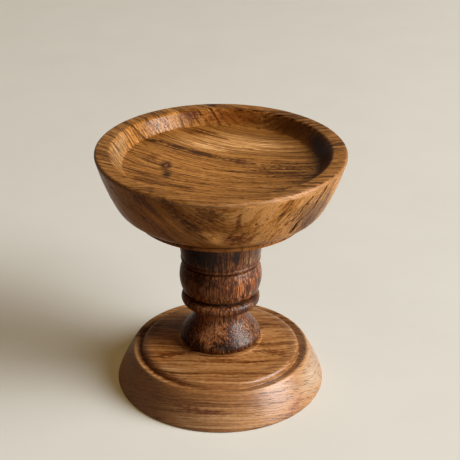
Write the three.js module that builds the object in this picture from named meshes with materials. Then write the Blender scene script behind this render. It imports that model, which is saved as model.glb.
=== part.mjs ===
// Turned wooden candle stand: a dish for a pillar candle on a beaded stem and a flared base.
// Millimetres, +Z up. The stand's axis is the Z axis and its underside lies at z = 0.
import * as THREE from "three";

// Base, heights from its underside
const baseRadius = 44.6;
const baseEdgeRound = 0.6;
const skirtSwellRadius = 42.6;
const skirtSwellHeight = 6.7;
const skirtTopRadius = 38;
const skirtHeight = 15.4;
const skirtLipRound = 0.8;
const creaseHeight = 13.6;
const creaseSetOut = 0.2;
const crestRadius = 33.7;
const crestEdgeHeight = 15;
const crestRoundWidth = 4.6;
const crestTopHeight = 16.9;
const domeHeight = 19.1;
const stemSeatMargin = 0.5;
const stemSeatRise = 0.6;

// Stem, heights from its foot
const stemLength = 58.7;
const footRadius = 17.2;
const footRound = 2.2;
const bellSwellRadius = 17.1;
const bellSwellHeight = 5.2;
const neckRadius = 11;
const neckHeight = 14.3;
const neckReach = 5.4;
const ringCoreRadius = 13.3;
const ringRadius = 16.6;
const ringBottom = 17.5;
const ringHeight = 5;
const ringGrooveRadius = 13.4;
const ringGrooveWidth = 1.4;
const beadGrooveRadius = 14.6;
const beadGrooveWidth = 0.7;
const beadEdgeRound = 0.9;
const barrelRadius = 17.35;
const barrelEndRadius = 16.2;
const barrelHeight = 13.3;
const filletRadius = 16.8;
const filletHeight = 1.6;
const filletQuirk = 0.35;
const collarStartRadius = 16.6;
const collarRadius = 17.3;
const collarEndRadius = 16.2;

// Dish, heights from its underside
const dishHeight = 28.4;
const discRadius = 35.6;
const discHeight = 1.9;
const discRound = 0.6;
const discQuirkRadius = 34.8;
const bellyFootRadius = 37.6;
const bellyFootHeight = 3.3;
const bellySwellRadius = 41.7;
const bellySwellHeight = 4.9;
const bellyRadius = 43.3;
const bellyHeight = 7.8;
const flareSwellRadius = 47.5;
const flareSwellHeight = 15.3;
const rimRadius = 51;
const rimWidestHeight = 26.9;
const rimCrownRadius = 49.3;
const rimInnerRadius = 44.9;
const rimInnerRound = 0.5;
const candleSeatRadius = 39.9;
const candleSeatDepth = 5.9;

// Screws
const screwClearance = 0.15;
const boreEndRoom = 1;
const baseScrewRadius = 2.25;
const baseScrewHeadRadius = 4.3;
const baseScrewHeadHeight = 2.8;
const baseScrewHeadFlat = 2.4;
const baseScrewBite = 26;
const baseScrewPoint = 4.5;
const counterboreDepth = 6.5;
const counterboreClearance = 0.5;
const dishScrewRadius = 3;
const dishScrewTipRadius = 1.2;
const dishScrewPoint = 5;
const dishScrewInStem = 22;
const dishScrewInDish = 16;

// Fineness of the turned surfaces
const curveSteps = 5;
const sidesOfDishAndBase = 64;
const sidesOfStem = 48;
const sidesOfScrew = 20;

// Heights and radii that the pieces share
const stemBottom = domeHeight + stemSeatRise;
const stemTop = stemBottom + stemLength;
const stemSeatRadius = footRadius + stemSeatMargin;
const baseScrewHole = baseScrewRadius + screwClearance;
const dishScrewHole = dishScrewRadius + screwClearance;

const goldenWood = { color: 0x9a6436, roughness: 0.42, metalness: 0 };
const darkWood = { color: 0x4a2414, roughness: 0.38, metalness: 0 };
const platedSteel = { color: 0xb9b6ab, roughness: 0.35, metalness: 1 };

// Turns half a section about the Z axis: x in the section is the radius and y is the height.
function turned(name, section, sides, look) {
  const geometry = new THREE.LatheGeometry(section.getPoints(curveSteps), sides);
  geometry.rotateX(Math.PI / 2);
  const mesh = new THREE.Mesh(geometry, new THREE.MeshStandardMaterial(look));
  mesh.name = name;
  return mesh;
}

// Underside, skirt and its lip, crease, crest, domed top and stem seat, then back down the screw hole.
function baseSection() {
  const counterboreRadius = baseScrewHeadRadius + counterboreClearance;
  const lipStart = skirtHeight - skirtLipRound;
  const lipEnd = skirtTopRadius - 2 * skirtLipRound;
  const crestRoundEnd = crestRadius - crestRoundWidth;
  const section = new THREE.Path();
  section.moveTo(counterboreRadius, 0);
  section.lineTo(baseRadius - baseEdgeRound, 0);
  section.quadraticCurveTo(baseRadius, 0, baseRadius, baseEdgeRound);
  section.quadraticCurveTo(skirtSwellRadius, skirtSwellHeight, skirtTopRadius, lipStart);
  section.quadraticCurveTo(skirtTopRadius - skirtLipRound, skirtHeight, lipEnd, lipStart);
  section.lineTo(crestRadius + creaseSetOut, creaseHeight);
  section.lineTo(crestRadius, crestEdgeHeight);
  section.quadraticCurveTo(crestRadius, crestTopHeight, crestRoundEnd, crestTopHeight);
  section.lineTo(stemSeatRadius, domeHeight);
  section.lineTo(stemSeatRadius, stemBottom);
  section.lineTo(baseScrewHole, stemBottom);
  section.lineTo(baseScrewHole, counterboreDepth);
  section.lineTo(counterboreRadius, counterboreDepth);
  section.closePath();
  return section;
}

// Lower bore, bell foot, neck, ring bead, barrel bead, fillet and collar, then down the upper bore.
function stemSection() {
  const lowerBoreEnd = baseScrewBite + boreEndRoom;
  const upperBoreEnd = stemLength - dishScrewInStem;
  const neckStart = neckHeight - neckReach;
  const ringMiddle = ringBottom + ringHeight / 2;
  const ringTop = ringBottom + ringHeight;
  const barrelBottom = ringTop + ringGrooveWidth;
  const barrelMiddle = barrelBottom + barrelHeight / 2;
  const barrelTop = barrelBottom + barrelHeight;
  const barrelReach = 2 * barrelRadius - barrelEndRadius;
  const filletBottom = barrelTop + beadGrooveWidth;
  const filletTop = filletBottom + filletHeight;
  const collarMiddle = (filletTop + stemLength) / 2;
  const collarReach = 2 * collarRadius - (collarStartRadius + collarEndRadius) / 2;
  const section = new THREE.Path();
  section.moveTo(0, lowerBoreEnd);
  section.lineTo(baseScrewHole, lowerBoreEnd);
  section.lineTo(baseScrewHole, 0);
  section.lineTo(footRadius - footRound, 0);
  section.quadraticCurveTo(footRadius, 0, footRadius, footRound);
  section.bezierCurveTo(bellSwellRadius, bellSwellHeight, neckRadius, neckStart, neckRadius, neckHeight);
  section.quadraticCurveTo(neckRadius, ringBottom, ringCoreRadius, ringBottom);
  section.quadraticCurveTo(ringRadius, ringBottom, ringRadius, ringMiddle);
  section.quadraticCurveTo(ringRadius, ringTop, ringGrooveRadius, ringTop);
  section.lineTo(ringGrooveRadius, barrelBottom);
  section.quadraticCurveTo(barrelEndRadius, barrelBottom, barrelEndRadius, barrelBottom + beadEdgeRound);
  section.quadraticCurveTo(barrelReach, barrelMiddle, barrelEndRadius, barrelTop - beadEdgeRound);
  section.quadraticCurveTo(barrelEndRadius, barrelTop, beadGrooveRadius, barrelTop);
  section.lineTo(beadGrooveRadius, filletBottom);
  section.quadraticCurveTo(filletRadius, filletBottom, filletRadius, (filletBottom + filletTop) / 2);
  section.quadraticCurveTo(filletRadius, filletTop, collarStartRadius - filletQuirk, filletTop);
  section.lineTo(collarStartRadius, filletTop + filletQuirk);
  section.quadraticCurveTo(collarReach, collarMiddle, collarEndRadius, stemLength);
  section.lineTo(dishScrewHole, stemLength);
  section.lineTo(dishScrewHole, upperBoreEnd);
  section.lineTo(0, upperBoreEnd);
  return section;
}

// Bore for the screw, underside, foot disc, quirk, belly, wall and rim, then down into the candle seat.
function dishSection() {
  const boreEnd = dishScrewInDish + boreEndRoom;
  const candleSeatHeight = dishHeight - candleSeatDepth;
  const rimInnerEdge = rimInnerRadius - rimInnerRound;
  const section = new THREE.Path();
  section.moveTo(0, boreEnd);
  section.lineTo(dishScrewHole, boreEnd);
  section.lineTo(dishScrewHole, 0);
  section.lineTo(discRadius - discRound, 0);
  section.quadraticCurveTo(discRadius, 0, discRadius, discRound);
  section.lineTo(discRadius, discHeight);
  section.lineTo(discQuirkRadius, discHeight);
  section.lineTo(discQuirkRadius, bellyFootHeight);
  section.lineTo(bellyFootRadius, bellyFootHeight);
  section.quadraticCurveTo(bellySwellRadius, bellySwellHeight, bellyRadius, bellyHeight);
  section.quadraticCurveTo(flareSwellRadius, flareSwellHeight, rimRadius, rimWidestHeight);
  section.quadraticCurveTo(rimRadius, dishHeight, rimCrownRadius, dishHeight);
  section.lineTo(rimInnerRadius + rimInnerRound, dishHeight);
  section.quadraticCurveTo(rimInnerRadius, dishHeight, rimInnerEdge, dishHeight - rimInnerRound);
  section.lineTo(candleSeatRadius, candleSeatHeight);
  section.lineTo(0, candleSeatHeight);
  return section;
}

// Pan head in the counterbore, shank up through the base, point inside the stem.
function baseScrewSection() {
  const headBottom = counterboreDepth - baseScrewHeadHeight;
  const tip = stemBottom + baseScrewBite;
  const section = new THREE.Path();
  section.moveTo(0, headBottom);
  section.lineTo(baseScrewHeadFlat, headBottom);
  section.quadraticCurveTo(baseScrewHeadRadius, headBottom, baseScrewHeadRadius, counterboreDepth);
  section.lineTo(baseScrewRadius, counterboreDepth);
  section.lineTo(baseScrewRadius, tip - baseScrewPoint);
  section.lineTo(0, tip);
  return section;
}

// Blunt pointed at both ends: the lower end stands on the end of the stem's bore.
function dishScrewSection() {
  const bottom = stemTop - dishScrewInStem;
  const top = stemTop + dishScrewInDish;
  const section = new THREE.Path();
  section.moveTo(0, bottom);
  section.lineTo(dishScrewTipRadius, bottom);
  section.lineTo(dishScrewRadius, bottom + dishScrewPoint);
  section.lineTo(dishScrewRadius, top - dishScrewPoint);
  section.lineTo(dishScrewTipRadius, top);
  section.lineTo(0, top);
  return section;
}

const base = turned("base", baseSection(), sidesOfDishAndBase, goldenWood);
const stem = turned("stem", stemSection(), sidesOfStem, darkWood);
const dish = turned("dish", dishSection(), sidesOfDishAndBase, goldenWood);
stem.position.z = stemBottom;
dish.position.z = stemTop;

const stand = new THREE.Group();
stand.add(base, stem, dish);
stand.add(turned("base_screw", baseScrewSection(), sidesOfScrew, platedSteel));
stand.add(turned("dish_screw", dishScrewSection(), sidesOfScrew, platedSteel));

export default stand;
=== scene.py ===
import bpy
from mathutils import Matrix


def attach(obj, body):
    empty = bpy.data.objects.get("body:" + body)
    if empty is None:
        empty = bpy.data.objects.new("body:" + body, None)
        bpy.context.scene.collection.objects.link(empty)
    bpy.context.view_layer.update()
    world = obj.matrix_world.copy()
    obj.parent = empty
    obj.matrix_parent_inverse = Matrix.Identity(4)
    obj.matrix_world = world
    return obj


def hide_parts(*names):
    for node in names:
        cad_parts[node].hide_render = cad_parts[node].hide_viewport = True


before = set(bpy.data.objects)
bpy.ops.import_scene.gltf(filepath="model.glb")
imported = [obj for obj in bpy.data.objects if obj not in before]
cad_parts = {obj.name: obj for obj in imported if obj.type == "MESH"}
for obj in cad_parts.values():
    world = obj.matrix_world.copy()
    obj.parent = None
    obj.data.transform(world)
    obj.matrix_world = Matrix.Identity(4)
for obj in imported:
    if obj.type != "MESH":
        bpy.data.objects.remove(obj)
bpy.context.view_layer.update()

import math

import bpy
import numpy as np
from mathutils import Euler, Matrix, Vector

mm = 0.001
noiseMiddle = 0.5
print("frame loaded:", ", ".join(sorted(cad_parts)))

# Steps of the turned surfaces: lengths in mm, and how much closer the stations stand where a section bends
fineness = {
    "walkStep": 0.04, "curveSteps": 400, "angleSteps": 7201, "onAxis": 1e-6,
    "bendSpan": 9, "bendLimit": 3.0, "bendWeight": 1.6,
}


# Walks a section of (radius, height) points in mm: a move of one point is a straight run, two are a curve
# with one pull and three a curve with two. The walk is cut into even steps, and each point takes the weighted
# mean of its neighbours along the walk, which rounds the edges as sanding does.
def walkSection(moves, sanding, closed):
    step = fineness["walkStep"]
    here, runs = moves[0][0], []
    share = np.linspace(0, 1, fineness["curveSteps"])[:, None]
    for move in moves[1:]:
        pulls = np.array([here, *move], float)
        order = len(pulls) - 1
        weights = [math.comb(order, k) * (1 - share) ** (order - k) * share ** k for k in range(order + 1)]
        runs.append(sum(weight * pull for weight, pull in zip(weights, pulls))[:-1])
        here = move[-1]
    walk = np.vstack([*runs, [here]])
    length = np.concatenate([[0], np.cumsum(np.hypot(*np.diff(walk, axis=0).T))])
    even = np.linspace(0, length[-1], int(length[-1] / step))
    walk = np.column_stack([np.interp(even, length, walk[:, axis]) for axis in (0, 1)])
    reach = int(4 * sanding / step)  # farther off, the weights are next to nothing
    kernel = np.exp(-0.5 * (np.arange(-reach, reach + 1) * step / sanding) ** 2)
    kernel /= kernel.sum()
    if closed:
        padded = np.vstack([walk[-reach - 1:-1], walk, walk[1:reach + 1]])
    else:
        padded = np.vstack([2 * walk[0] - walk[reach:0:-1], walk, 2 * walk[-1] - walk[-2:-reach - 2:-1]])
    return np.column_stack([np.convolve(padded[:, axis], kernel, "valid") for axis in (0, 1)])


# Picks stations on a walk: close together where it bends and beyond a radius, far apart nearer the axis
def pickStations(walk, count, showsFrom, hiddenShare):
    run = np.diff(walk, axis=0)
    stride = np.hypot(*run.T)
    length = np.concatenate([[0], np.cumsum(stride)])
    heading = np.unwrap(np.arctan2(run[:, 1], run[:, 0]))
    span = fineness["bendSpan"]
    bend = np.convolve(np.abs(np.gradient(heading)) / stride, np.ones(span) / span, "same")
    bend = np.minimum(bend, fineness["bendLimit"])
    middle = (walk[1:, 0] + walk[:-1, 0]) / 2
    density = np.where(middle > showsFrom, 1.0, hiddenShare) + bend * fineness["bendWeight"]
    filled = np.concatenate([[0], np.cumsum(density * stride)])
    at = np.interp(np.linspace(0, filled[-1], count), filled, length)
    return np.column_stack([np.interp(at, length, walk[:, axis]) for axis in (0, 1)])


# Angles round the axis: even, and crowded round the given places, each (degrees, half width, weight)
def pickAngles(count, crowded=()):
    fine = np.linspace(-math.pi, math.pi, fineness["angleSteps"])
    density = np.ones(len(fine))
    for angle, width, weight in crowded:
        density += weight * np.exp(-(((np.degrees(fine) - angle) / width) ** 2))
    filled = np.concatenate([[0], np.cumsum((density[1:] + density[:-1]) / 2)])
    return np.interp(np.linspace(0, filled[-1], count + 1)[:-1], filled, fine)


# Slow unevenness left by the hand that sanded the piece: a few waves round the axis that drift with height
def handWobble(angles, height, depth, seed):
    chance = np.random.default_rng(seed)
    mostDrift, fullTurn = 0.12, 6.28
    total = 0
    for waves in (2, 3, 5, 8, 13):
        drift, start = chance.uniform(-mostDrift, mostDrift), chance.uniform(0, fullTurn)
        total = total + np.sin(waves * angles + drift * height + start) / waves ** 0.5
    return depth * total / 2


# Carries a section round the axis and gives radius and height on the grid, rows along the section. The
# unevenness sets in over 2 mm from the radius where the piece starts to show.
def turnSection(turning, angles):
    walk = walkSection(turning["section"], turning["sanding"], turning["closed"])
    stations = pickStations(walk, turning["stations"], turning["showsFrom"], turning["hiddenShare"])
    if turning["closed"]:
        stations = stations[:-1]
    radius, height = stations[:, :1], stations[:, 1:] + turning["bottom"]
    shown = np.clip((radius - turning["showsFrom"]) / 2, 0, 1)
    radius = radius + shown * handWobble(angles[None, :], height, turning["wobble"], turning["seed"])
    return radius, height + 0 * radius


# One side of a piece: highest towards an angle in degrees, and falling off round the axis with the cosine
def sideField(angles, at, weight, level=0.0):
    return np.clip(level + weight * np.cos(angles - math.radians(at)), 0, 1)


# A mesh from radius and height over a grid of angles: x is radius times cosine, y radius times sine. A row on
# the axis becomes one pole, and a closed section joins its last row to its first. Fields become attributes.
def meshFromGrid(name, radius, height, angles, closed, fields=None):
    points = np.stack([radius * np.cos(angles), radius * np.sin(angles), height], -1) * mm
    columns = np.arange(len(angles))
    pole = radius[:, 0] < fineness["onAxis"]
    start = np.concatenate([[0], np.cumsum(np.where(pole, 1, len(angles)))[:-1]])
    index = start[:, None] + np.where(pole, 0, 1)[:, None] * columns[None, :]
    keep = ~pole[:, None] | (columns == 0)[None, :]
    lower, upper = (index, np.roll(index, -1, 0)) if closed else (index[:-1], index[1:])
    quads = np.stack([lower, np.roll(lower, -1, 1), np.roll(upper, -1, 1), upper], -1).reshape(-1, 4)
    fromPole, toPole = quads[:, 0] == quads[:, 1], quads[:, 2] == quads[:, 3]
    whole = quads[~fromPole & ~toPole]
    wedges = np.vstack([quads[fromPole][:, [0, 2, 3]], quads[toPole][:, [0, 1, 2]]])
    sizes = np.concatenate([np.full(len(whole), 4), np.full(len(wedges), 3)])
    corners = np.concatenate([whole.ravel(), wedges.ravel()])
    firstCorner = np.concatenate([[0], np.cumsum(sizes)[:-1]])
    mesh = bpy.data.meshes.new(name)
    mesh.vertices.add(int(keep.sum()))
    mesh.vertices.foreach_set("co", points[keep].astype(np.float32).ravel())
    mesh.loops.add(len(corners))
    mesh.loops.foreach_set("vertex_index", corners.astype(np.int32))
    mesh.polygons.add(len(sizes))
    mesh.polygons.foreach_set("loop_start", firstCorner.astype(np.int32))
    mesh.update(calc_edges=True)
    mesh.polygons.foreach_set("use_smooth", np.ones(len(sizes), bool))
    for label, field in (fields or {}).items():
        values = mesh.attributes.new(label, "FLOAT", "POINT").data
        values.foreach_set("value", field[keep].astype(np.float32))
    piece = bpy.data.objects.new(name, mesh)
    bpy.context.collection.objects.link(piece)
    print(name, "has", int((sizes - 2).sum()), "triangles")
    return piece


# Gives a piece its material, puts it under its body and hides the frame's node that it stands for
def finishPiece(piece, node, material):
    piece.data.materials.append(material)
    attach(piece, "root")
    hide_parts(node)


# Puts nodes into a new material: sockets are linked and plain values are set
def nodeBench(name):
    material = bpy.data.materials.new(name)
    material.use_nodes = True
    tree = material.node_tree
    tree.nodes.clear()

    def put(kind, inputs, **settings):
        node = tree.nodes.new("ShaderNode" + kind)
        for key, value in settings.items():
            setattr(node, key, value)
        for key, value in inputs.items():
            if isinstance(value, bpy.types.NodeSocket):
                tree.links.new(value, node.inputs[key])
            else:
                node.inputs[key].default_value = value
        return node

    return material, put


# One sum of a shader, on sockets or plain numbers
def reckon(put, operation, *values):
    return put("Math", dict(enumerate(values)), operation=operation).outputs[0]


# Adds a noise to a total: above the noise's middle the total rises by the weight, and below it falls
def swung(put, total, noise, weight):
    return reckon(put, "MULTIPLY_ADD", reckon(put, "SUBTRACT", noise, noiseMiddle), weight, total)


# Smooth step from newLow at low to newHigh at high, which may lie below low
def fade(put, value, low, high, newLow=0.0, newHigh=1.0):
    return put("MapRange", {0: value, 1: low, 2: high, 3: newLow, 4: newHigh},
               interpolation_type="SMOOTHSTEP").outputs[0]


# The first value where the share is 0, and the second where it is 1
def mixed(put, share, first, second):
    return put("Mix", {0: share, 2: first, 3: second}).outputs[0]


# One of the fields that the mesh carries
def fieldOf(put, label):
    return put("Attribute", {}, attribute_name=label).outputs["Fac"]


# Place inside the piece, in mm
def placeInMm(put):
    return put("Mapping", {0: put("TexCoord", {}).outputs["Object"], 3: (1 / mm,) * 3}).outputs[0]


# Noise over coordinates in mm, squeezed to so many cells per mm along each axis
def cellNoise(put, place, cells, detail=2.0, roughness=0.55):
    squeezed = put("Mapping", {0: place, 3: cells}).outputs[0]
    return put("TexNoise", {"Vector": squeezed, "Scale": 1.0, "Detail": detail, "Roughness": roughness})


# Colour ramp over a value, from pairs of position and colour
def ramped(put, value, colours):
    ramp = put("ValToRGB", {0: value})
    stops = ramp.color_ramp.elements
    while len(stops) < len(colours):
        stops.new(0.5)
    for stop, (position, colour) in zip(stops, colours):
        stop.position, stop.color = position, (*colour, 1)
    return ramp.outputs[0]


# Multiplies a colour by a tint, where the mask is 1
def tinted(put, colour, mask, tint):
    return put("Mix", {0: mask, 6: colour, 7: (*tint, 1)}, data_type="RGBA", blend_type="MULTIPLY").outputs[2]


# Shifts a place by a noise, at the most by half the reach each way
def wavering(put, place, noisePlace, cells, reach):
    noise = cellNoise(put, noisePlace, cells, detail=3.0).outputs[1]
    shift = put("VectorMath", {0: noise, 1: (noiseMiddle,) * 3}, operation="SUBTRACT").outputs[0]
    shift = put("VectorMath", {0: shift, "Scale": reach}, operation="SCALE").outputs[0]
    return put("VectorMath", {0: place, 1: shift}).outputs[0]


# How far a place lies from the middle of an ellipsoid: 1 on its skin
def awayFrom(put, place, at, size, turn):
    spot = put("Mapping", {0: place, 1: at, 2: np.radians(turn), 3: size}, vector_type="TEXTURE")
    return put("VectorMath", {0: spot.outputs[0]}, operation="LENGTH").outputs["Value"]


# Grain that sways slowly, ripples and curls round burrs. A layer is the place across the grain less the bow,
# which grows with the square of the way along from the bend's centre, and the layers fan out with it.
def bentGrain(put, look, solid, place):
    grain = wavering(put, place, place, look["swayCells"], look["sway"])
    grain = wavering(put, grain, place, look["rippleCells"], look["ripple"])
    for at, size, turn, curl in look["burrs"]:
        near = fade(put, awayFrom(put, solid, at, size, turn), *look["burrEdge"])
        grain = wavering(put, grain, place, look["curlCells"], reckon(put, "MULTIPLY", near, curl))
    along, across, up = put("SeparateXYZ", {0: grain}).outputs
    fromBend = reckon(put, "SUBTRACT", along, look["bendCentre"])
    square = reckon(put, "MULTIPLY", fromBend, fromBend)
    layer = reckon(put, "MULTIPLY_ADD", square, -look["bend"], across)
    layer = reckon(put, "DIVIDE", layer, reckon(put, "MULTIPLY_ADD", square, look["fan"], 1.0))
    return along, across, up, layer


# V figure: a layer is the level less the slope times the leg. The leg is the way along from the V's centre,
# rounded at the foot by the bow, and grows as the surface turns back from the front.
def flameLayer(put, flame, along, across, up):
    leg = reckon(put, "SUBTRACT", along, flame["centre"])
    level = reckon(put, "MULTIPLY_ADD", leg, -flame["lean"], up)
    leg = reckon(put, "SQRT", reckon(put, "MULTIPLY_ADD", leg, leg, flame["bow"] ** 2))
    leg = reckon(put, "MULTIPLY_ADD", reckon(put, "SUBTRACT", across, flame["front"]), flame["turnBack"], leg)
    return reckon(put, "MULTIPLY", reckon(put, "MULTIPLY_ADD", leg, -flame["slope"], level), flame["share"])


# Parts of the figure, noises drawn out along the grain. A ring darkens slowly and ends at once, and it comes
# and goes along the grain.
def woodFigure(put, look, place, grain, layer):
    figure = {
        "bands": cellNoise(put, grain, look["bandCells"]).outputs[0],
        "blotches": cellNoise(put, grain, look["blotchCells"], detail=4.0, roughness=0.6).outputs[0],
        "streaks": cellNoise(put, grain, look["streakCells"], detail=3.0, roughness=0.6).outputs[0],
        "fibres": cellNoise(put, grain, look["fibreCells"], detail=2.0, roughness=0.6).outputs[0],
        "speckle": cellNoise(put, place, look["speckleCells"], detail=2.0, roughness=0.6).outputs[0],
    }
    pores = cellNoise(put, grain, look["poreCells"], detail=1.0, roughness=0.5).outputs[0]
    figure["pores"] = fade(put, pores, *look["poreEdge"])
    ring = reckon(put, "DIVIDE", layer, look["ringWidth"])
    ring = reckon(put, "FRACT", reckon(put, "MULTIPLY_ADD", figure["bands"], look["ringDrift"], ring))
    ring = reckon(put, "POWER", ring, look["ringEdge"])
    shows = fade(put, cellNoise(put, grain, look["fadeCells"]).outputs[0], *look["fadeEdge"])
    figure["rings"] = reckon(put, "MULTIPLY", ring, shows)
    return figure


# Tone from dark to light: a middle tone, with each part of the figure by its own weight
def woodTone(put, look, figure, outside):
    tone = reckon(put, "MULTIPLY_ADD", outside, look["outsideLift"], look["middleTone"])
    blotchTone = reckon(put, "MULTIPLY_ADD", outside, look["outsideBlotch"], look["blotchTone"])
    weights = {"bands": look["bandTone"], "fibres": look["fibreTone"], "speckle": look["speckleTone"],
               "blotches": blotchTone}
    for part, weight in weights.items():
        tone = swung(put, tone, figure[part], weight)
    streakTone = reckon(put, "MULTIPLY_ADD", outside, -look["outsideStreak"], -look["streakTone"])
    tone = reckon(put, "MULTIPLY_ADD", fade(put, figure["streaks"], *look["streakEdge"]), streakTone, tone)
    tone = reckon(put, "MULTIPLY_ADD", figure["rings"], -look["ringTone"], tone)
    if "calm" in look:
        tone = mixed(put, fieldOf(put, "plain"), tone, look["calm"])
    return tone


# Colour from the tone, then each mark's tint inside its ragged ellipsoid, then the pores and the splits
def woodColour(put, look, solid, figure, tone):
    colour = ramped(put, tone, look["colours"])
    for at, size, turn, tint, ragged in look["marks"]:
        away = awayFrom(put, solid, at, size, turn)
        for part in ("streaks", "speckle"):
            away = swung(put, away, figure[part], ragged)
        colour = tinted(put, colour, fade(put, away, *look["markEdge"]), tint)
    colour = tinted(put, colour, figure["pores"], look["poreTint"])
    if "splitTint" in look:
        colour = tinted(put, colour, fieldOf(put, "split"), look["splitTint"])
    return colour


# Solid wood: layers stand across the grain and bend with it, pores and fibres run along it. It is all worked
# out from the place inside the solid, so the figure goes through the piece from side to side.
def woodMaterial(name, look):
    material, put = nodeBench(name)
    solid = placeInMm(put)
    place = put("Mapping", {0: solid, 1: look["shift"], 2: look["turn"]}).outputs[0]
    along, across, up, layer = bentGrain(put, look, solid, place)
    outside = 0.0
    if "flame" in look:
        outside = fieldOf(put, "outside")
        layer = mixed(put, outside, layer, flameLayer(put, look["flame"], along, across, up))
    grain = put("CombineXYZ", {0: along, 1: layer, 2: up}).outputs[0]
    figure = woodFigure(put, look, place, grain, layer)
    colour = woodColour(put, look, solid, figure, woodTone(put, look, figure, outside))

    relief = reckon(put, "MULTIPLY", figure["fibres"], look["fibreRelief"])
    relief = reckon(put, "MULTIPLY_ADD", figure["pores"], -look["poreRelief"], relief)
    relief = reckon(put, "MULTIPLY_ADD", figure["rings"], -look["ringRelief"], relief)
    bump = put("Bump", {"Strength": look["bump"], "Distance": look["reliefDepth"] * mm, "Height": relief})
    gloss = swung(put, look["roughness"], figure["fibres"], look["fibreGloss"])
    gloss = reckon(put, "MULTIPLY_ADD", figure["pores"], look["poreGloss"], gloss)
    coat = look["coat"]
    if "polish" in look:
        coat = reckon(put, "MULTIPLY_ADD", fieldOf(put, "polished"), look["polish"], coat)
    shader = put("BsdfPrincipled", {
        "Base Color": colour, "Roughness": gloss, "Normal": bump.outputs[0],
        "Specular IOR Level": look["specular"], "Specular Tint": (*look["shine"], 1.0),
        "Coat Weight": coat, "Coat Roughness": look["coatRoughness"], "Coat Normal": bump.outputs[0]})
    put("OutputMaterial", {0: shader.outputs[0]})
    return material


# A colour as it looks on a screen, 0 to 255, turned into the light values that shaders take
def srgb(*levels):
    shares = [level / 255 for level in levels]
    return tuple(((share + 0.055) / 1.055) ** 2.4 if share > 0.04 else share / 12.92 for share in shares)


# Golden wood, which the other woods start from. Cells are per mm along the grain, across it and upwards.
goldenGrain = {
    "shift": (0, 0, 0), "turn": (0, 0, 0),
    "swayCells": (0.012, 0.03, 0.03), "sway": 6.5, "rippleCells": (0.07, 0.2, 0.2), "ripple": 1.2,
    "burrs": [], "burrEdge": (1.0, 0.3), "curlCells": (0.3, 0.3, 0.3),
    "bendCentre": 27.0, "bend": 0.0083, "fan": 0.00014,  # layers bow away from x = 27 and fan out
    "bandCells": (0.006, 0.1, 0.03), "bandTone": 0.6,
    "streakCells": (0.02, 0.65, 0.1), "streakEdge": (0.46, 0.33), "streakTone": 0.38,
    "fibreCells": (0.05, 1.3, 0.3), "fibreTone": 0.9, "speckleCells": (0.5, 1.1, 1.1), "speckleTone": 0.7,
    "poreCells": (0.2, 1.9, 1.9), "poreEdge": (0.6, 0.72), "poreTint": (0.42, 0.34, 0.26),
    "ringWidth": 2.8, "ringDrift": 6.0, "ringEdge": 7.0, "ringTone": 0.5,
    "fadeCells": (0.04, 0.3, 0.1), "fadeEdge": (0.36, 0.62),
    "blotchCells": (0.03, 0.09, 0.09), "blotchTone": 0.0, "middleTone": 0.5,
    "outsideLift": 0.0, "outsideBlotch": 0.0, "outsideStreak": 0.0,
    "colours": [(0.0, srgb(64, 31, 7)), (0.35, srgb(126, 79, 31)), (0.55, srgb(160, 106, 48)),
                (0.95, srgb(192, 140, 82))],
    "marks": [], "markEdge": (1.0, 0.2),
    "bump": 0.5, "reliefDepth": 0.3, "fibreRelief": 0.5, "poreRelief": 0.7, "ringRelief": 0.2,
    "roughness": 0.3, "fibreGloss": 0.2, "poreGloss": 0.15,
    "specular": 0.06, "shine": (1.0, 0.9, 0.8), "coat": 0.03, "coatRoughness": 0.22,
}


# Depth of splits or dents over the wall: the distance to each path, along the arc and the slope, goes through
# a bell curve as wide as the split. A split gapes here and closes there, by a cosine of the height.
def splitDepth(angles, radius, height, splits, wall):
    inner = np.where(height > wall["solidTop"], wall["innerHigh"], wall["innerLow"])
    arc, climb = angles[None, :] * wall["radius"], height * wall["slope"]
    for reach, rate, start in wall["wander"]:
        arc = arc + reach * np.sin(rate * height + start)
    depth = np.zeros(radius.shape)
    for width, deep, path in splits:
        spots = np.array([(math.radians(degrees) * wall["radius"], level * wall["slope"])
                          for degrees, level in path])
        away = np.full(radius.shape, np.inf)
        for start, end in zip(spots[:-1], spots[1:]):
            run = end - start
            share = ((arc - start[0]) * run[0] + (climb - start[1]) * run[1]) / (run @ run)
            share = np.clip(share, 0, 1)
            aside = arc - start[0] - share * run[0]
            above = climb - start[1] - share * run[1]
            away = np.minimum(away, np.hypot(aside, above))
        phase = wall["gapeRate"] * (height - wall["gapeLevel"]) + wall["gapeByWidth"] * width
        opened = wall["gape"] + wall["gapeSwing"] * np.cos(phase)
        bell = np.exp(-((away / (width * opened + wall["soften"])) ** 2))
        depth = np.maximum(depth, deep * opened * bell)
    return depth * (radius > inner)


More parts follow.
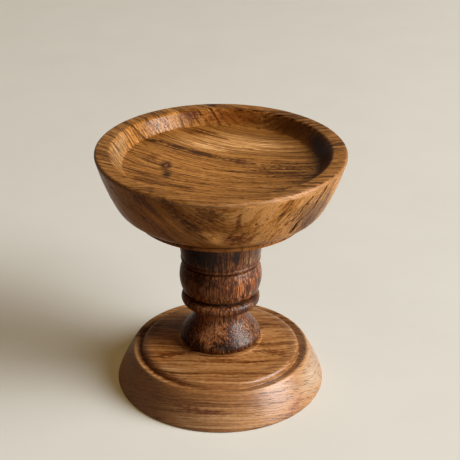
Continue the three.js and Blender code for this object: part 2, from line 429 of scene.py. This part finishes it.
# Dish. Splits and dents are (half width, depth, path) and run over the outside wall. Each point of a path is
# (degrees round the axis, height). Other heights and radii are in mm, and sides are (degrees, weight).
dishSettings = {
    "bottom": 78.4, "closed": False, "sanding": 0.22, "stations": 215, "showsFrom": 34.0, "hiddenShare": 0.22,
    "wobble": 0.05, "seed": 4, "sides": 440, "crowded": [(-45, 13, 4.5), (-107, 5, 1.2), (-62, 6, 1.2)],
    "section": [
        [(0, 17)], [(3.15, 17)], [(3.15, 0)],  # bore
        [(35, 0)], [(35.6, 0), (35.6, 0.6)], [(35.6, 1.9)],  # foot disc
        [(34.8, 1.9)], [(34.8, 3.3)], [(37.6, 3.3)], [(41.7, 4.9), (43.3, 7.8)],  # quirk and belly
        [(47.5, 15.3), (50.95, 27.2)], [(50.95, 28.4), (49.8, 28.4)], [(45.4, 28.4)],  # wall and rim
        [(44.9, 28.4), (44.4, 27.9)], [(39.9, 22.5)], [(0, 22.5)],  # inside wall and seat
    ],
    "splits": [
        (0.36, 0.9, [(-36.9, 104.2), (-37.9, 102.4), (-39.7, 99.3), (-41.7, 96.9), (-44.3, 94.7),
                     (-48.3, 92.4), (-50.7, 90.2), (-51.7, 86.9)]),
        (0.26, 0.7, [(-45.8, 102.6), (-46.9, 101.7), (-49.4, 99.4), (-51.2, 96.8), (-53.4, 94.7),
                     (-57.2, 92.4)]),
        (0.22, 0.4, [(-24.2, 101.9), (-27.5, 99.2), (-31.1, 97.1), (-34.0, 93.5)]),
        (0.42, 0.8, [(-74.2, 95.9), (-73.8, 95.7)]),  # pin hole
    ],
    "dents": [
        (0.8, 0.35, [(-116, 105.6), (-114, 105.8)]), (0.7, 0.3, [(-110.5, 105.6), (-109.6, 105.4)]),
        (0.6, 0.3, [(-106, 105.8), (-104.6, 105.9)]), (0.8, 0.4, [(-77, 105.4), (-74.5, 105.6)]),
        (0.7, 0.35, [(-69, 105.3), (-67.6, 105.5)]), (0.9, 0.4, [(-62, 105.6), (-59, 105.3)]),
        (1.1, 0.55, [(-74, 106.6), (-62, 106.2), (-50, 106.2), (-36, 106.6)]),  # edge worn to a slope
    ],
    "wall": {
        "radius": 47.0, "slope": 1.06,  # usual radius, and way along the wall for each mm of height
        "solidTop": 100.5, "innerLow": 36.5, "innerHigh": 47.0,  # the outside lies beyond the inner radii
        "wander": [(0.4, 0.9, 0), (0.12, 3.1, 2)],  # waves of a path: reach, rate over the height, start
        "gape": 0.8, "gapeSwing": 0.3, "gapeRate": 0.42, "gapeLevel": 95, "gapeByWidth": 9, "soften": 0.05,
    },
    "wear": {
        "rimLevel": 106.2, "edgeReach": 1.0, "rimInside": 44, "wallFoot": 39.9, "polishFoot": 39.7,
        "outsideTop": 106.6, "outsideFade": 1.8, "darkFromDepth": 0.25, "wallCalm": 0.8,
        "brightBack": (140, 1.6), "wornEdge": (-55, 1.3), "stripes": (168, 1.6),
    },
    "grain": {
        **goldenGrain,
        "fibreTone": 1.15, "ringTone": 0.65, "blotchCells": (0.02, 0.21, 0.07),
        "outsideLift": 0.3, "outsideBlotch": 2.7, "outsideStreak": -0.26,
        "flame": {"centre": 5.0, "bow": 4.0, "slope": 1.05, "lean": 0.15, "share": 0.62,
                  "front": -46.0, "turnBack": 0.5},
        "burrs": [((12, -46, 96), (12, 9, 11), (0, 0, 0), 5.0)],
        "splitTint": (0.1, 0.06, 0.04), "calm": 0.42, "polish": 0.5,
        # place, reach along its own three axes, their turn, tint, raggedness
        "marks": [
            ((-8, 3, 100.9), (48, 46, 3.2), (0, 0, 0), (1.35, 1.38, 1.45), 0.3),  # seat paler than the rim
            ((7, 21, 101), (34, 15, 8), (0, 0, -8), (1.55, 1.85, 2.8), 2.0),  # pale band across the seat
            ((-6, 16, 101), (13, 4.5, 8), (0, 0, -28), (1.5, 1.7, 2.2), 2.0),
            ((15, 16, 101), (16, 4, 8), (0, 0, -6), (1.3, 1.4, 1.6), 2.5),
            ((-11, 32, 101), (9, 4.5, 4), (0, 0, -20), (0.6, 0.48, 0.4), 2.0),  # darker behind the band
            ((-42, 2, 104), (6, 30, 5), (0, 0, 0), (1.05, 1.4, 2.7), 0.8),  # painted sheen: pale and pinker on the lamp-lit left of the wall inside
            ((26, -3.5, 101), (18, 4.4, 4), (0, 0, -2), (0.3, 0.22, 0.16), 2.6),  # dark at the seat's right: dark streaks, partly painted shadow of the right wall
            ((26, -12, 101), (14, 2.6, 4), (0, 0, 4), (0.4, 0.3, 0.22), 2.6),
            ((-28, 22.3, 101), (8, 2.8, 4), (0, 0, -30), (0.16, 0.12, 0.1), 1.2),  # dark line along the band
            ((-19, 15.6, 101), (9, 2.6, 4), (0, 0, -38), (0.16, 0.12, 0.1), 1.2),
            ((-7.7, 8.4, 101), (12, 2.8, 4), (0, 0, -30), (0.2, 0.15, 0.12), 1.2),
            ((7, 1, 101), (12, 3.2, 4), (0, 0, -22), (0.28, 0.2, 0.16), 1.6),
            ((-28.6, 5.1, 101), (5, 4.5, 4), (0, 0, 0), (0.62, 0.54, 0.47), 0.8),  # smudges on the seat
            ((-21.3, -11.6, 101), (2.8, 5.4, 4), (0, 0, 0), (0.18, 0.18, 0.21), 0.5),
            ((-22.1, -3.3, 101), (3.6, 6.2, 4), (0, 0, 0), (0.1, 0.06, 0.05), 0.2),  # pin knot and its eye
            ((-22.0, -3.3, 101), (1.2, 2.2, 4), (0, 0, 0), (9.0, 13.0, 24.0), 0.1),
            ((-14, 40.8, 105), (7, 5, 4), (0, 0, 0), (0.5, 0.38, 0.42), 0.7),  # plum patch on the wall inside
            ((6, 42.1, 104), (24, 6, 5), (0, 0, 0), (0.72, 0.52, 0.38), 1.5),  # redder at the wall's back
            ((41, 9, 103.5), (9, 32, 5), (0, 0, 0), (0.13, 0.07, 0.045), 0.5),  # painted shade on the right wall inside, which faces away from the lamp
            ((28, 33, 104.5), (20, 13, 6), (0, 0, -50), (0.42, 0.33, 0.28), 0.8),
            ((-25.8, -41, 107), (1.6, 2.0, 2), (0, 0, 0), (0.45, 0.38, 0.32), 0.5),  # mark on the rim
            ((28.8, -41.2, 106.2), (20, 3.4, 2), (0, 0, 35), (1.35, 1.6, 3.0), 0.6),  # painted highlight: pinkish-white glare on the worn edge
            ((-2.9, -49.9, 101.2), (8, 7, 5.5), (0, 0, 0), (0.42, 0.36, 0.32), 1.4),  # smudge under the rim
            ((-10.2, -46.4, 95), (10, 7, 3.8), (0, 38, 0), (0.34, 0.25, 0.18), 1.6),  # dark streaks outside
            ((-17, -46.5, 101.5), (12, 7, 3.4), (0, 42, 0), (0.4, 0.31, 0.24), 1.6),
            ((-26, -42, 101), (9, 6, 2.2), (0, 48, 0), (0.55, 0.45, 0.36), 1.4),
            ((-24.1, -41, 95.6), (10, 6, 1.6), (0, 44, 0), (1.7, 1.75, 1.7), 1.2),  # pale streaks beside them
            ((-18.6, -44, 95.6), (8, 6, 1.3), (0, 44, 0), (1.7, 1.75, 1.7), 1.2),
            ((6.9, -48, 98), (1.5, 6, 8), (0, 10, 0), (0.42, 0.32, 0.26), 0.8),  # seam in the middle of the V
            ((3.4, -45, 90), (1.1, 6, 5.5), (0, 32, 0), (0.5, 0.4, 0.34), 0.8),
            ((8, -43.6, 88.6), (7, 5, 4.4), (0, 0, 0), (0.42, 0.28, 0.2), 2.0),  # reddish curls low down
            ((36, -30, 94), (20, 20, 13), (0, 0, 0), (0.38, 0.37, 0.48), 1.0),  # painted shade: the lamp-lit right of the outside dimmed and greyed
            ((33, -28, 88), (13, 13, 8), (0, 0, 0), (0.74, 0.68, 0.62), 1.0),
            ((-3.2, -45.4, 89.8), (9, 6, 4), (0, 34, 0), (2.1, 2.4, 2.8), 1.0),  # pale foot of the V
            ((0, 0, 79.3), (90, 90, 1.9), (0, 0, 0), (0.62, 0.48, 0.38), 0.3),  # painted shade: foot disc darker under the belly
            ((0, 0, 80.7), (90, 90, 1.3), (0, 0, 0), (0.07, 0.045, 0.03), 0.1),  # painted shade in the quirk over it
        ],
    },
}
dishWear = dishSettings["wear"]
dishAngles = pickAngles(dishSettings["sides"], dishSettings["crowded"])
dishRadius, dishHeights = turnSection(dishSettings, dishAngles)
dishSplits = splitDepth(dishAngles, dishRadius, dishHeights, dishSettings["splits"], dishSettings["wall"])
dishDents = splitDepth(dishAngles, dishRadius, dishHeights, dishSettings["dents"], dishSettings["wall"])
beforeRim = (np.arange(len(dishHeights)) < np.argmax(dishHeights[:, 0]))[:, None]
underRim = dishHeights < dishWear["rimLevel"]
rimTop = (dishHeights > dishWear["rimLevel"]) & (dishRadius > dishWear["rimInside"])
insideWall = ~beforeRim & ~rimTop & (dishRadius > dishWear["wallFoot"])
atEdge = np.exp(-(((dishHeights - dishWear["rimLevel"]) / dishWear["edgeReach"]) ** 2))
edgeShine = sideField(dishAngles, *dishWear["wornEdge"]) * atEdge
wallShine = sideField(dishAngles, *dishWear["brightBack"]) * underRim
dishFields = {
    "outside": beforeRim * np.clip((dishWear["outsideTop"] - dishHeights) / dishWear["outsideFade"], 0, 1),
    "polished": np.where(beforeRim, edgeShine, wallShine) * (dishRadius > dishWear["polishFoot"]),
    "plain": dishWear["wallCalm"] * insideWall * (1 - sideField(dishAngles, *dishWear["stripes"])),
    "split": np.clip(dishSplits / dishWear["darkFromDepth"], 0, 1),
}
wornRadius = dishRadius - dishSplits - dishDents
dish = meshFromGrid("turned_dish", wornRadius, dishHeights, dishAngles, False, dishFields)
finishPiece(dish, "dish", woodMaterial("golden_wood_dish", dishSettings["grain"]))

# Stem
stemSettings = {
    "bottom": 19.7, "closed": False, "sanding": 0.16, "stations": 260, "showsFrom": 8.0, "hiddenShare": 0.2,
    "wobble": 0.04, "seed": 7, "sides": 256,
    "section": [
        [(0, 27)], [(2.4, 27)], [(2.4, 0)], [(15, 0)], [(17.2, 0), (17.2, 2.2)],  # bore and foot
        [(17.1, 5.2), (11, 8.9), (11, 14.3)], [(11, 17.5), (13.3, 17.5)],  # bell and neck
        [(16.6, 17.5), (16.6, 20)], [(16.6, 22.5), (13.4, 22.5)], [(13.4, 23.9)],  # ring bead
        [(16.2, 23.9), (16.2, 24.8)], [(18.5, 30.55), (16.2, 36.3)], [(16.2, 37.2), (14.6, 37.2)],  # barrel
        [(14.6, 37.9)], [(16.8, 37.9), (16.8, 38.7)], [(16.8, 39.5), (16.25, 39.5)],  # fillet
        [(16.6, 39.85)], [(18.2, 49.275), (16.2, 58.7)],  # collar
        [(3.15, 58.7)], [(3.15, 36.7)], [(0, 36.7)],  # upper bore
    ],
    "shine": (-25, 0.85, 0.15),  # rubbed bright at the right
    "grain": {
        **goldenGrain,
        "turn": (0, math.radians(90), 0), "bend": 0.0, "fan": 0.0, "sway": 2.0, "ripple": 0.5,
        "bandCells": (0.01, 0.06, 0.06), "bandTone": 0.9, "blotchCells": (0.04, 0.1, 0.1), "blotchTone": 1.4,
        "streakCells": (0.03, 0.6, 0.6), "streakTone": 0.25, "fibreCells": (0.06, 1.7, 1.7), "fibreTone": 1.9,
        "speckleTone": 0.35, "ringTone": 0.12,
        "poreCells": (0.12, 2.0, 2.0), "poreEdge": (0.56, 0.66), "poreTint": (0.28, 0.22, 0.18),
        "colours": [(0.0, srgb(24, 8, 3)), (0.35, srgb(78, 39, 17)), (0.55, srgb(114, 66, 34)),
                    (0.95, srgb(162, 110, 70))],
        "bump": 0.6, "specular": 0.03, "shine": (1.0, 0.92, 0.84),
        "coat": 0.02, "polish": 0.6, "coatRoughness": 0.33,
        "marks": [
            ((2, -17, 23.5), (10, 6, 2.8), (0, 0, 0), (0.16, 0.13, 0.12), 1.0),  # dark at the bell's foot
            ((-9, -14.6, 22.5), (7, 5, 3), (0, 0, -30), (0.22, 0.18, 0.16), 1.0),
            ((13, -12, 50), (9, 10, 8), (0, 0, 0), (2.9, 3.0, 2.9), 0.8),  # painted highlight: paler at the lamp-lit right of the barrel
            ((13, -11, 64), (8, 9, 6), (0, 0, 0), (1.0, 1.3, 1.7), 0.8),  # painted sheen, also at the right of the collar and the bell
            ((12, -12, 28), (8, 9, 8), (0, 0, 0), (1.0, 1.2, 1.4), 0.8),
            ((-7, -15, 66), (19, 12, 11), (0, 0, 0), (0.1, 0.07, 0.055), 0.8),  # painted shade on the collar, in the shadow of the dish
            # painted shade on the top of the barrel at the left
            ((-8, -16, 54.5), (13, 8, 3.6), (0, 0, 0), (0.36, 0.3, 0.26), 0.8),
            ((0, 0, 42.9), (60, 60, 1.7), (0, 0, 0), (0.22, 0.18, 0.15), 0.2),  # painted shade in the groove over the ring bead
        ],
    },
}
stemAngles = pickAngles(stemSettings["sides"])
stemRadius, stemHeights = turnSection(stemSettings, stemAngles)
stemFields = {"polished": sideField(stemAngles, *stemSettings["shine"]) + 0 * stemRadius}
stem = meshFromGrid("turned_stem", stemRadius, stemHeights, stemAngles, False, stemFields)
finishPiece(stem, "stem", woodMaterial("dark_wood_stem", stemSettings["grain"]))

# Base
baseSettings = {
    "bottom": 0.0, "closed": True, "sanding": 0.3, "stations": 190, "showsFrom": 17.0, "hiddenShare": 0.25,
    "wobble": 0.05, "seed": 11, "sides": 420,
    "section": [
        [(4.8, 0)], [(44, 0)], [(44.6, 0), (44.6, 0.6)], [(42.6, 6.7), (38, 14.6)],  # underside and skirt
        [(37.2, 15.4), (36.4, 14.6)], [(33.9, 13.6)], [(33.7, 15)],  # lip and crease
        [(33.7, 16.9), (29.1, 16.9)], [(17.7, 19.1)], [(17.7, 19.7)],  # crest, domed top and stem seat
        [(2.4, 19.7)], [(2.4, 6.5)], [(4.8, 6.5)], [(4.8, 0)],  # screw hole and counterbore
    ],
    # rubbed bright from the crest outwards, most at the front right, and plain at the ends of the grain
    "wear": {
        "polishFrom": 28, "polishFade": 4, "footFade": 0.5, "shine": (-30, 0.65, 0.65),
        "skirtFrom": 36, "skirtFoot": 0.3, "endCalm": 0.65, "endWeight": 1.6, "endLevel": -0.6,
    },
    "grain": {
        **goldenGrain,
        "shift": (40, 70, 30), "turn": (math.radians(-68), 0, 0), "bend": 0.0, "fan": 0.0,
        "sway": 4.0, "ripple": 0.8, "bandCells": (0.005, 0.1, 0.03), "bandTone": 0.7,
        "streakCells": (0.008, 0.8, 0.05), "streakTone": 0.3,
        "fibreCells": (0.009, 1.9, 0.12), "fibreTone": 1.3, "speckleTone": 0.6,
        "ringWidth": 2.2, "ringTone": 0.16, "fadeCells": (0.02, 0.2, 0.1),
        "poreCells": (0.022, 2.2, 0.3), "poreEdge": (0.58, 0.68), "poreTint": (0.5, 0.4, 0.33),
        "colours": [(0.0, srgb(78, 42, 17)), (0.35, srgb(134, 86, 44)), (0.55, srgb(158, 110, 64)),
                    (0.95, srgb(190, 146, 100))],
        "bump": 0.35, "roughness": 0.36, "specular": 0.05, "shine": (1.0, 0.97, 0.94),
        "coat": 0.05, "polish": 0.95, "coatRoughness": 0.34, "calm": 0.7,
        "marks": [
            ((0, -42, 7), (40, 14, 8), (0, 0, 0), (1.14, 1.27, 1.55), 0.6),  # paler skirt
            # painted sheen: whitish at the lamp-lit right of the skirt
            ((39, -12, 8), (12, 28, 9), (0, 0, 0), (1.05, 1.48, 2.6), 0.8),
            ((-25, -2, 18), (13, 22, 4), (0, 0, 0), (1.45, 1.3, 0.95), 0.6),  # painted light: golden in the stem's shadow at the left of the top
            ((23, -10.5, 18), (12, 2.2, 4), (0, 0, 6), (0.45, 0.34, 0.26), 1.6),  # dark lines on the top
            ((-20, -13, 18), (13, 1.8, 4), (0, 0, 0), (0.5, 0.38, 0.3), 1.6),
            ((4, -19, 18), (16, 1.3, 4), (0, 0, 0), (0.62, 0.46, 0.36), 1.6),
            ((-9, -40, 8.2), (13, 8, 1.5), (0, 3, 0), (0.6, 0.42, 0.34), 1.6),  # reddish streaks on the skirt
            ((31.4, -29.5, 4), (9, 4, 2.2), (0, -20, 40), (0.75, 0.5, 0.4), 1.0),
        ],
    },
}
baseWear = baseSettings["wear"]
baseAngles = pickAngles(baseSettings["sides"])
baseRadius, baseHeights = turnSection(baseSettings, baseAngles)
grainEnds = np.clip(baseWear["endWeight"] * np.abs(np.cos(baseAngles)) + baseWear["endLevel"], 0, 1)
onSkirt = (baseRadius > baseWear["skirtFrom"]) & (baseHeights > baseWear["skirtFoot"])
fromCrest = np.clip((baseRadius - baseWear["polishFrom"]) / baseWear["polishFade"], 0, 1)
aboveFoot = np.clip(baseHeights / baseWear["footFade"], 0, 1)
baseFields = {
    "polished": fromCrest * aboveFoot * sideField(baseAngles, *baseWear["shine"]),
    "plain": baseWear["endCalm"] * onSkirt * grainEnds,
}
base = meshFromGrid("turned_base", baseRadius, baseHeights, baseAngles, True, baseFields)
finishPiece(base, "base", woodMaterial("golden_wood_base", baseSettings["grain"]))

# Screws: the outline is the solid's, and a ridge winds up round a thinner core. The head has a cross recess.
screwSettings = {
    "sanding": 0.04, "stations": 360, "sides": 48,
    "threadDepth": 0.26, "ridge": 0.26, "runOut": 1.5,
    "steel": {
        "cloudCells": (0.7, 0.7, 0.7), "scratchCells": (6.0, 6.0, 0.8), "cloudEdge": (0.3, 0.7),
        "colours": [(0.3, (0.6, 0.59, 0.55)), (0.7, (0.78, 0.77, 0.73))],
        "roughness": (0.28, 0.45), "bump": 0.3, "reliefDepth": 0.1,
    },
    "screws": {
        "base_screw": {
            "section": [[(0, 3.7)], [(2.4, 3.7)], [(4.3, 3.7), (4.3, 6.5)],  # head
                        [(2.25, 6.5)], [(2.25, 41.2)], [(0, 45.7)]],  # shank and point
            "pitch": 1.8, "plain": (3.7, 8.5),
            "recess": {"halfWidth": 0.5, "reach": 2.1, "depth": 1.6,
                       "sideSlope": 0.2, "endSlope": 0.3, "skin": 0.3},
        },
        "dish_screw": {
            "section": [[(0, 56.4)], [(1.2, 56.4)], [(3, 61.4)], [(3, 89.4)], [(1.2, 94.4)], [(0, 94.4)]],
            "pitch": 2.2, "plain": (77, 79.8), "recess": None,
        },
    },
}


# Radius is the outline less the thread's depth, apart from the ridge: the level in pitches less the turn
# round the axis gives the place between two ridges. In the head, the two arms of the cross are pushed up.
def screwGrid(turning, angles):
    walk = walkSection(turning["section"], screwSettings["sanding"], False)
    stations = pickStations(walk, screwSettings["stations"], showsFrom=-1.0, hiddenShare=1.0)
    outline, level = np.hsplit(stations, 2)
    between = (level / turning["pitch"] - angles / (2 * math.pi)) % 1
    ridge = np.clip(1 - np.abs(between - 0.5) / screwSettings["ridge"], 0, 1)
    low, high = turning["plain"]
    threaded = np.clip(np.maximum(low - level, level - high) / screwSettings["runOut"], 0, 1)
    radius = outline * (1 - screwSettings["threadDepth"] * threaded * (1 - ridge))
    height = level + 0 * radius
    recess = turning["recess"]
    if recess:
        sides = np.abs(np.stack([radius * np.cos(angles), radius * np.sin(angles)]))
        arm = np.clip((recess["halfWidth"] - sides.min(0)) / recess["sideSlope"], 0, 1)
        arm = arm * np.clip((recess["reach"] - sides.max(0)) / recess["endSlope"], 0, 1)
        height = height + recess["depth"] * arm * (level < low + recess["skin"])
    return radius, height


# Plated steel: clouds change its colour and roughness, and fine scratches run along the screw
def steelMaterial(name, look):
    material, put = nodeBench(name)
    place = placeInMm(put)
    cloud = cellNoise(put, place, look["cloudCells"], detail=4.0, roughness=0.6).outputs[0]
    scratches = cellNoise(put, place, look["scratchCells"]).outputs[0]
    bump = put("Bump", {"Strength": look["bump"], "Distance": look["reliefDepth"] * mm, "Height": scratches})
    shader = put("BsdfPrincipled", {
        "Base Color": ramped(put, cloud, look["colours"]), "Metallic": 1.0, "Normal": bump.outputs[0],
        "Roughness": fade(put, cloud, *look["cloudEdge"], *look["roughness"])})
    put("OutputMaterial", {0: shader.outputs[0]})
    return material


zincSteel = steelMaterial("zinc_steel", screwSettings["steel"])
screwAngles = pickAngles(screwSettings["sides"])
for node, turning in screwSettings["screws"].items():
    screwRadius, screwHeights = screwGrid(turning, screwAngles)
    screw = meshFromGrid("threaded_" + node, screwRadius, screwHeights, screwAngles, False)
    finishPiece(screw, node, zincSteel)

# Stage: a round floor that sweeps up into a wall. It is pale to the eye and in reflections, and darker where
# it throws light back. A faint glow lifts the shadow that the eye sees on it.
stage = {
    "reach": 2200, "sweep": 1000, "wall": 2600, "wallStart": 1.1, "drop": 0.02,
    "floorRows": 24, "sweepRows": 17, "wallRows": 6, "sides": 96,
    "colour": srgb(205, 208, 206), "lifts": (0.94, 1.04), "toneCells": (0.02, 0.02, 0.02),
    "bounce": (0.26, 0.15, 0.06), "glow": (0.12, 0.08, 0.03), "roughness": 0.9, "specular": 0.1,
}


def floorMaterial(name):
    material, put = nodeBench(name)
    tone = cellNoise(put, placeInMm(put), stage["toneCells"], detail=4.0, roughness=0.6).outputs[0]
    shades = [[channel * lift for channel in stage["colour"]] for lift in stage["lifts"]]
    rays = put("LightPath", {}).outputs
    colour = ramped(put, tone, list(zip((0.0, 1.0), shades)))
    colour = tinted(put, colour, rays["Is Diffuse Ray"], stage["bounce"])
    seen = reckon(put, "ADD", rays["Is Camera Ray"], rays["Is Glossy Ray"])
    seen = reckon(put, "ADD", seen, rays["Is Transmission Ray"])
    shader = put("BsdfPrincipled", {
        "Base Color": colour, "Roughness": stage["roughness"], "Specular IOR Level": stage["specular"],
        "Emission Color": (*stage["glow"], 1), "Emission Strength": seen})
    put("OutputMaterial", {0: shader.outputs[0]})
    return material


sweepTurn = np.linspace(0, math.pi / 2, stage["sweepRows"])
floorRadius = np.concatenate([np.full(stage["wallRows"], stage["reach"] + stage["sweep"]),
                              stage["reach"] + stage["sweep"] * np.cos(sweepTurn),
                              np.linspace(stage["reach"], 0, stage["floorRows"])[1:]])
wallStart = stage["sweep"] * stage["wallStart"]
floorHeight = np.concatenate([np.linspace(stage["wall"], wallStart, stage["wallRows"]),
                              stage["sweep"] * (1 - np.sin(sweepTurn)),
                              np.full(stage["floorRows"] - 1, -stage["drop"])])
floorAngles = pickAngles(stage["sides"])
allRound = np.zeros(len(floorAngles))
paleFloor = meshFromGrid("pale_floor", floorRadius[:, None] + allRound, floorHeight[:, None] + allRound,
                         floorAngles, False)
paleFloor.data.materials.append(floorMaterial("pale_studio_floor"))

# A large soft lamp at the right, and a weak, wide and warm panel over the left shoulder: angles in degrees,
# the rest in metres and watts
lamps = {
    "window_lamp": {"round": 18, "up": 27, "away": 2.5, "size": (1.7, 2.0), "power": 143.0,
                    "colour": (1.0, 0.98, 0.95)},
    "fill_panel": {"round": 150, "up": 48, "away": 2.2, "size": (1.6, 1.6), "power": 2.5,
                   "colour": (1.0, 0.55, 0.2)},
}
lampAim = Vector((0, 0, 0.05))
for name, lamp in lamps.items():
    light = bpy.data.lights.new(name, "AREA")
    light.shape, light.energy, light.color = "RECTANGLE", lamp["power"], lamp["colour"]
    light.size, light.size_y = lamp["size"]
    lightObject = bpy.data.objects.new(name, light)
    turn, rise = math.radians(lamp["round"]), math.radians(lamp["up"])
    towards = Vector((math.cos(turn) * math.cos(rise), -math.sin(turn) * math.cos(rise), math.sin(rise)))
    lightObject.location = towards * lamp["away"] + lampAim
    lightObject.rotation_euler = towards.to_track_quat("Z", "Y").to_euler()
    bpy.context.collection.objects.link(lightObject)

room = {"colour": (1.0, 0.85, 0.66), "strength": 0.005}
world = bpy.data.worlds.new("soft_room")
world.use_nodes = True
background = world.node_tree.nodes["Background"]
background.inputs[0].default_value = (*room["colour"], 1)
background.inputs[1].default_value = room["strength"]
bpy.context.scene.world = world
bpy.context.scene.view_settings.view_transform = "Standard"

# Camera: place and lens in mm, looking down by so many degrees
shot = {"side": 3.8, "back": 476.57, "up": 311.27, "down": 26.81, "roll": 0.4, "lens": 100.88, "sensor": 36}
camera = bpy.data.cameras.new("photo_camera")
camera.lens, camera.sensor_width = shot["lens"], shot["sensor"]
cameraObject = bpy.data.objects.new("photo_camera", camera)
aim = Euler((math.radians(90 - shot["down"]), 0, 0)).to_matrix()
aim = aim @ Matrix.Rotation(math.radians(shot["roll"]), 3, "Z")
cameraObject.rotation_euler = aim.to_euler()
cameraObject.location = (shot["side"] * mm, -shot["back"] * mm, shot["up"] * mm)
bpy.context.collection.objects.link(cameraObject)
bpy.context.scene.camera = cameraObject
print("stage, light and camera set")
